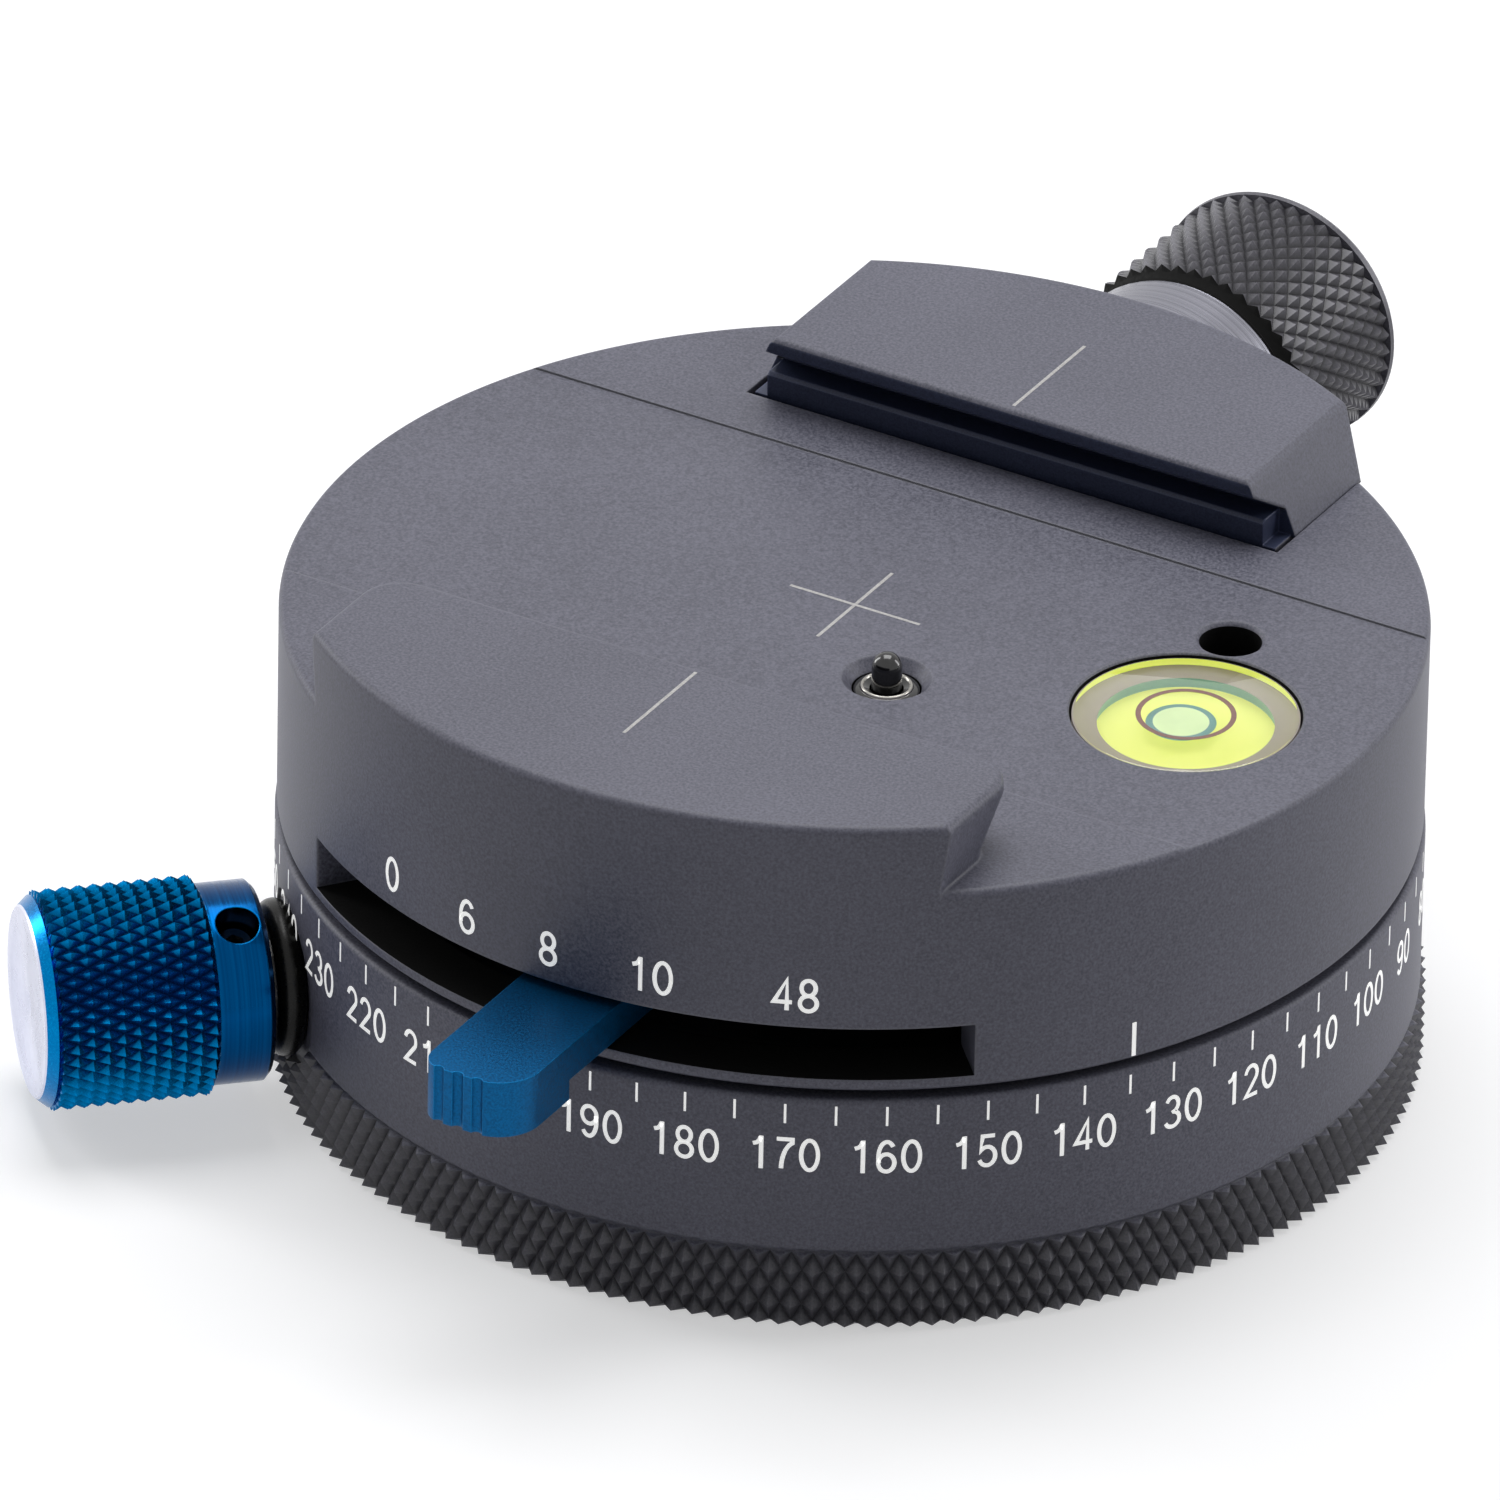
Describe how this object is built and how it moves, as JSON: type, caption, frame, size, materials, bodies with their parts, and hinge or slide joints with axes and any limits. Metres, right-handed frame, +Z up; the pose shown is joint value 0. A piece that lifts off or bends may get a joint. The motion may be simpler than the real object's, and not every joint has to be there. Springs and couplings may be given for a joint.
{
  "type": "panoramic tripod head",
  "caption": "Round panning base with degree scale, indexed click-stop selector lever, knurled pan lock and a dovetail plate clamp with bubble level on top.",
  "frame": {"origin": "centre of the clamp floor, on the pan axis", "axes": "+Z up along the pan axis; +Y towards the moving jaw and its knob; +X along the dovetail channel"},
  "size_m": [0.0713, 0.0926, 0.0322],
  "materials": {
    "body_anodised": "bead-blasted, dark graphite anodised, satin",
    "knob_anodised": "diamond-knurled, dark graphite anodised",
    "blue_anodised": "blue anodised, satin lever and brighter knurled knob",
    "steel": "plain turned steel",
    "black_steel": "black oxide",
    "brass": "plain turned",
    "rubber": "matt black",
    "acetal": "natural white",
    "clear_acrylic": "clear, polished",
    "level_liquid": "yellow-green tinted liquid",
    "level_mark": "printed ring"
  },
  "bodies": {
    "base": {"bottom_plate": "body_anodised", "thread_insert": "brass", "plate_screw_1": "black_steel", "plate_screw_2": "black_steel", "plate_screw_3": "black_steel", "plate_screw_4": "black_steel", "scale_ring": "body_anodised", "bearing_bush": "brass", "glide_washer": "acetal", "index_disc": "steel", "disc_screw_1": "black_steel", "disc_screw_2": "black_steel", "disc_screw_3": "black_steel", "lock_bush": "brass", "lock_seal": "rubber"},
    "rotor": {"rotor_housing": "body_anodised", "spindle": "steel", "lever_pivot_screw": "steel", "level_cap": "clear_acrylic", "level_liquid": "level_liquid", "level_bubble": "clear_acrylic", "level_ring": "level_mark", "pin_bush": "steel", "pin_spring": "steel", "guide_pin_1": "steel", "guide_pin_2": "steel", "jaw_spring_1": "steel", "jaw_spring_2": "steel"},
    "brake_shoe": {"brake_shoe": "brass"},
    "lock_knob": {"lock_screw": "steel", "lock_knob": "blue_anodised", "lock_set_screw": "black_steel"},
    "lever": {"selector_lever": "blue_anodised", "detent_spring": "steel", "detent_cap": "brass"},
    "detent": {"detent_plunger": "steel"},
    "jaw": {"moving_jaw": "body_anodised"},
    "clamp_knob": {"clamp_knob": "knob_anodised", "clamp_spindle": "steel", "clamp_washer": "steel"},
    "pin": {"safety_pin": "black_steel"}
  },
  "joints": [
    {"name": "pan", "type": "hinge", "parent": "base", "child": "rotor", "pos_m": [0, 0, -0.0159], "axis": [0, 0, 1], "continuous": true},
    {"name": "brake_slide", "type": "slide", "parent": "base", "child": "brake_shoe", "axis": [-0.7302, -0.6833, 0], "range_m": [-0.00025, 0.00075]},
    {"name": "lock_turn", "type": "hinge", "parent": "brake_shoe", "child": "lock_knob", "pos_m": [-0.02483, -0.02323, -0.02063], "axis": [-0.7302, -0.6833, 0], "range_deg": [-95, 275]},
    {"name": "selector", "type": "hinge", "parent": "rotor", "child": "lever", "pos_m": [0, -0.0136, -0.0102], "axis": [0, 0, 1], "range_deg": [-34.9, 42.3]},
    {"name": "detent_press", "type": "slide", "parent": "lever", "child": "detent", "axis": [0, 0, 1], "range_m": [-0.0005, 0.0005], "stiffness_N_per_m": 900, "deforming": ["detent_spring"]},
    {"name": "jaw_slide", "type": "slide", "parent": "rotor", "child": "jaw", "axis": [0, 1, 0], "range_m": [-0.00015, 0.004], "deforming": ["jaw_spring_1", "jaw_spring_2"]},
    {"name": "clamp_turn", "type": "hinge", "parent": "jaw", "child": "clamp_knob", "pos_m": [0, 0.044, -0.00447], "axis": [0, 1, 0], "range_deg": [-60, 1450]},
    {"name": "pin_press", "type": "slide", "parent": "rotor", "child": "pin", "axis": [0, 0, 1], "range_m": [-0.0012, 0], "stiffness_N_per_m": 400, "deforming": ["pin_spring"]}
  ],
  "couplings": [
    {"joint": "lock_turn", "follows": "brake_slide", "rad_per_m": 6283.2},
    {"joint": "clamp_turn", "follows": "jaw_slide", "rad_per_m": 6283.2}
  ]
}
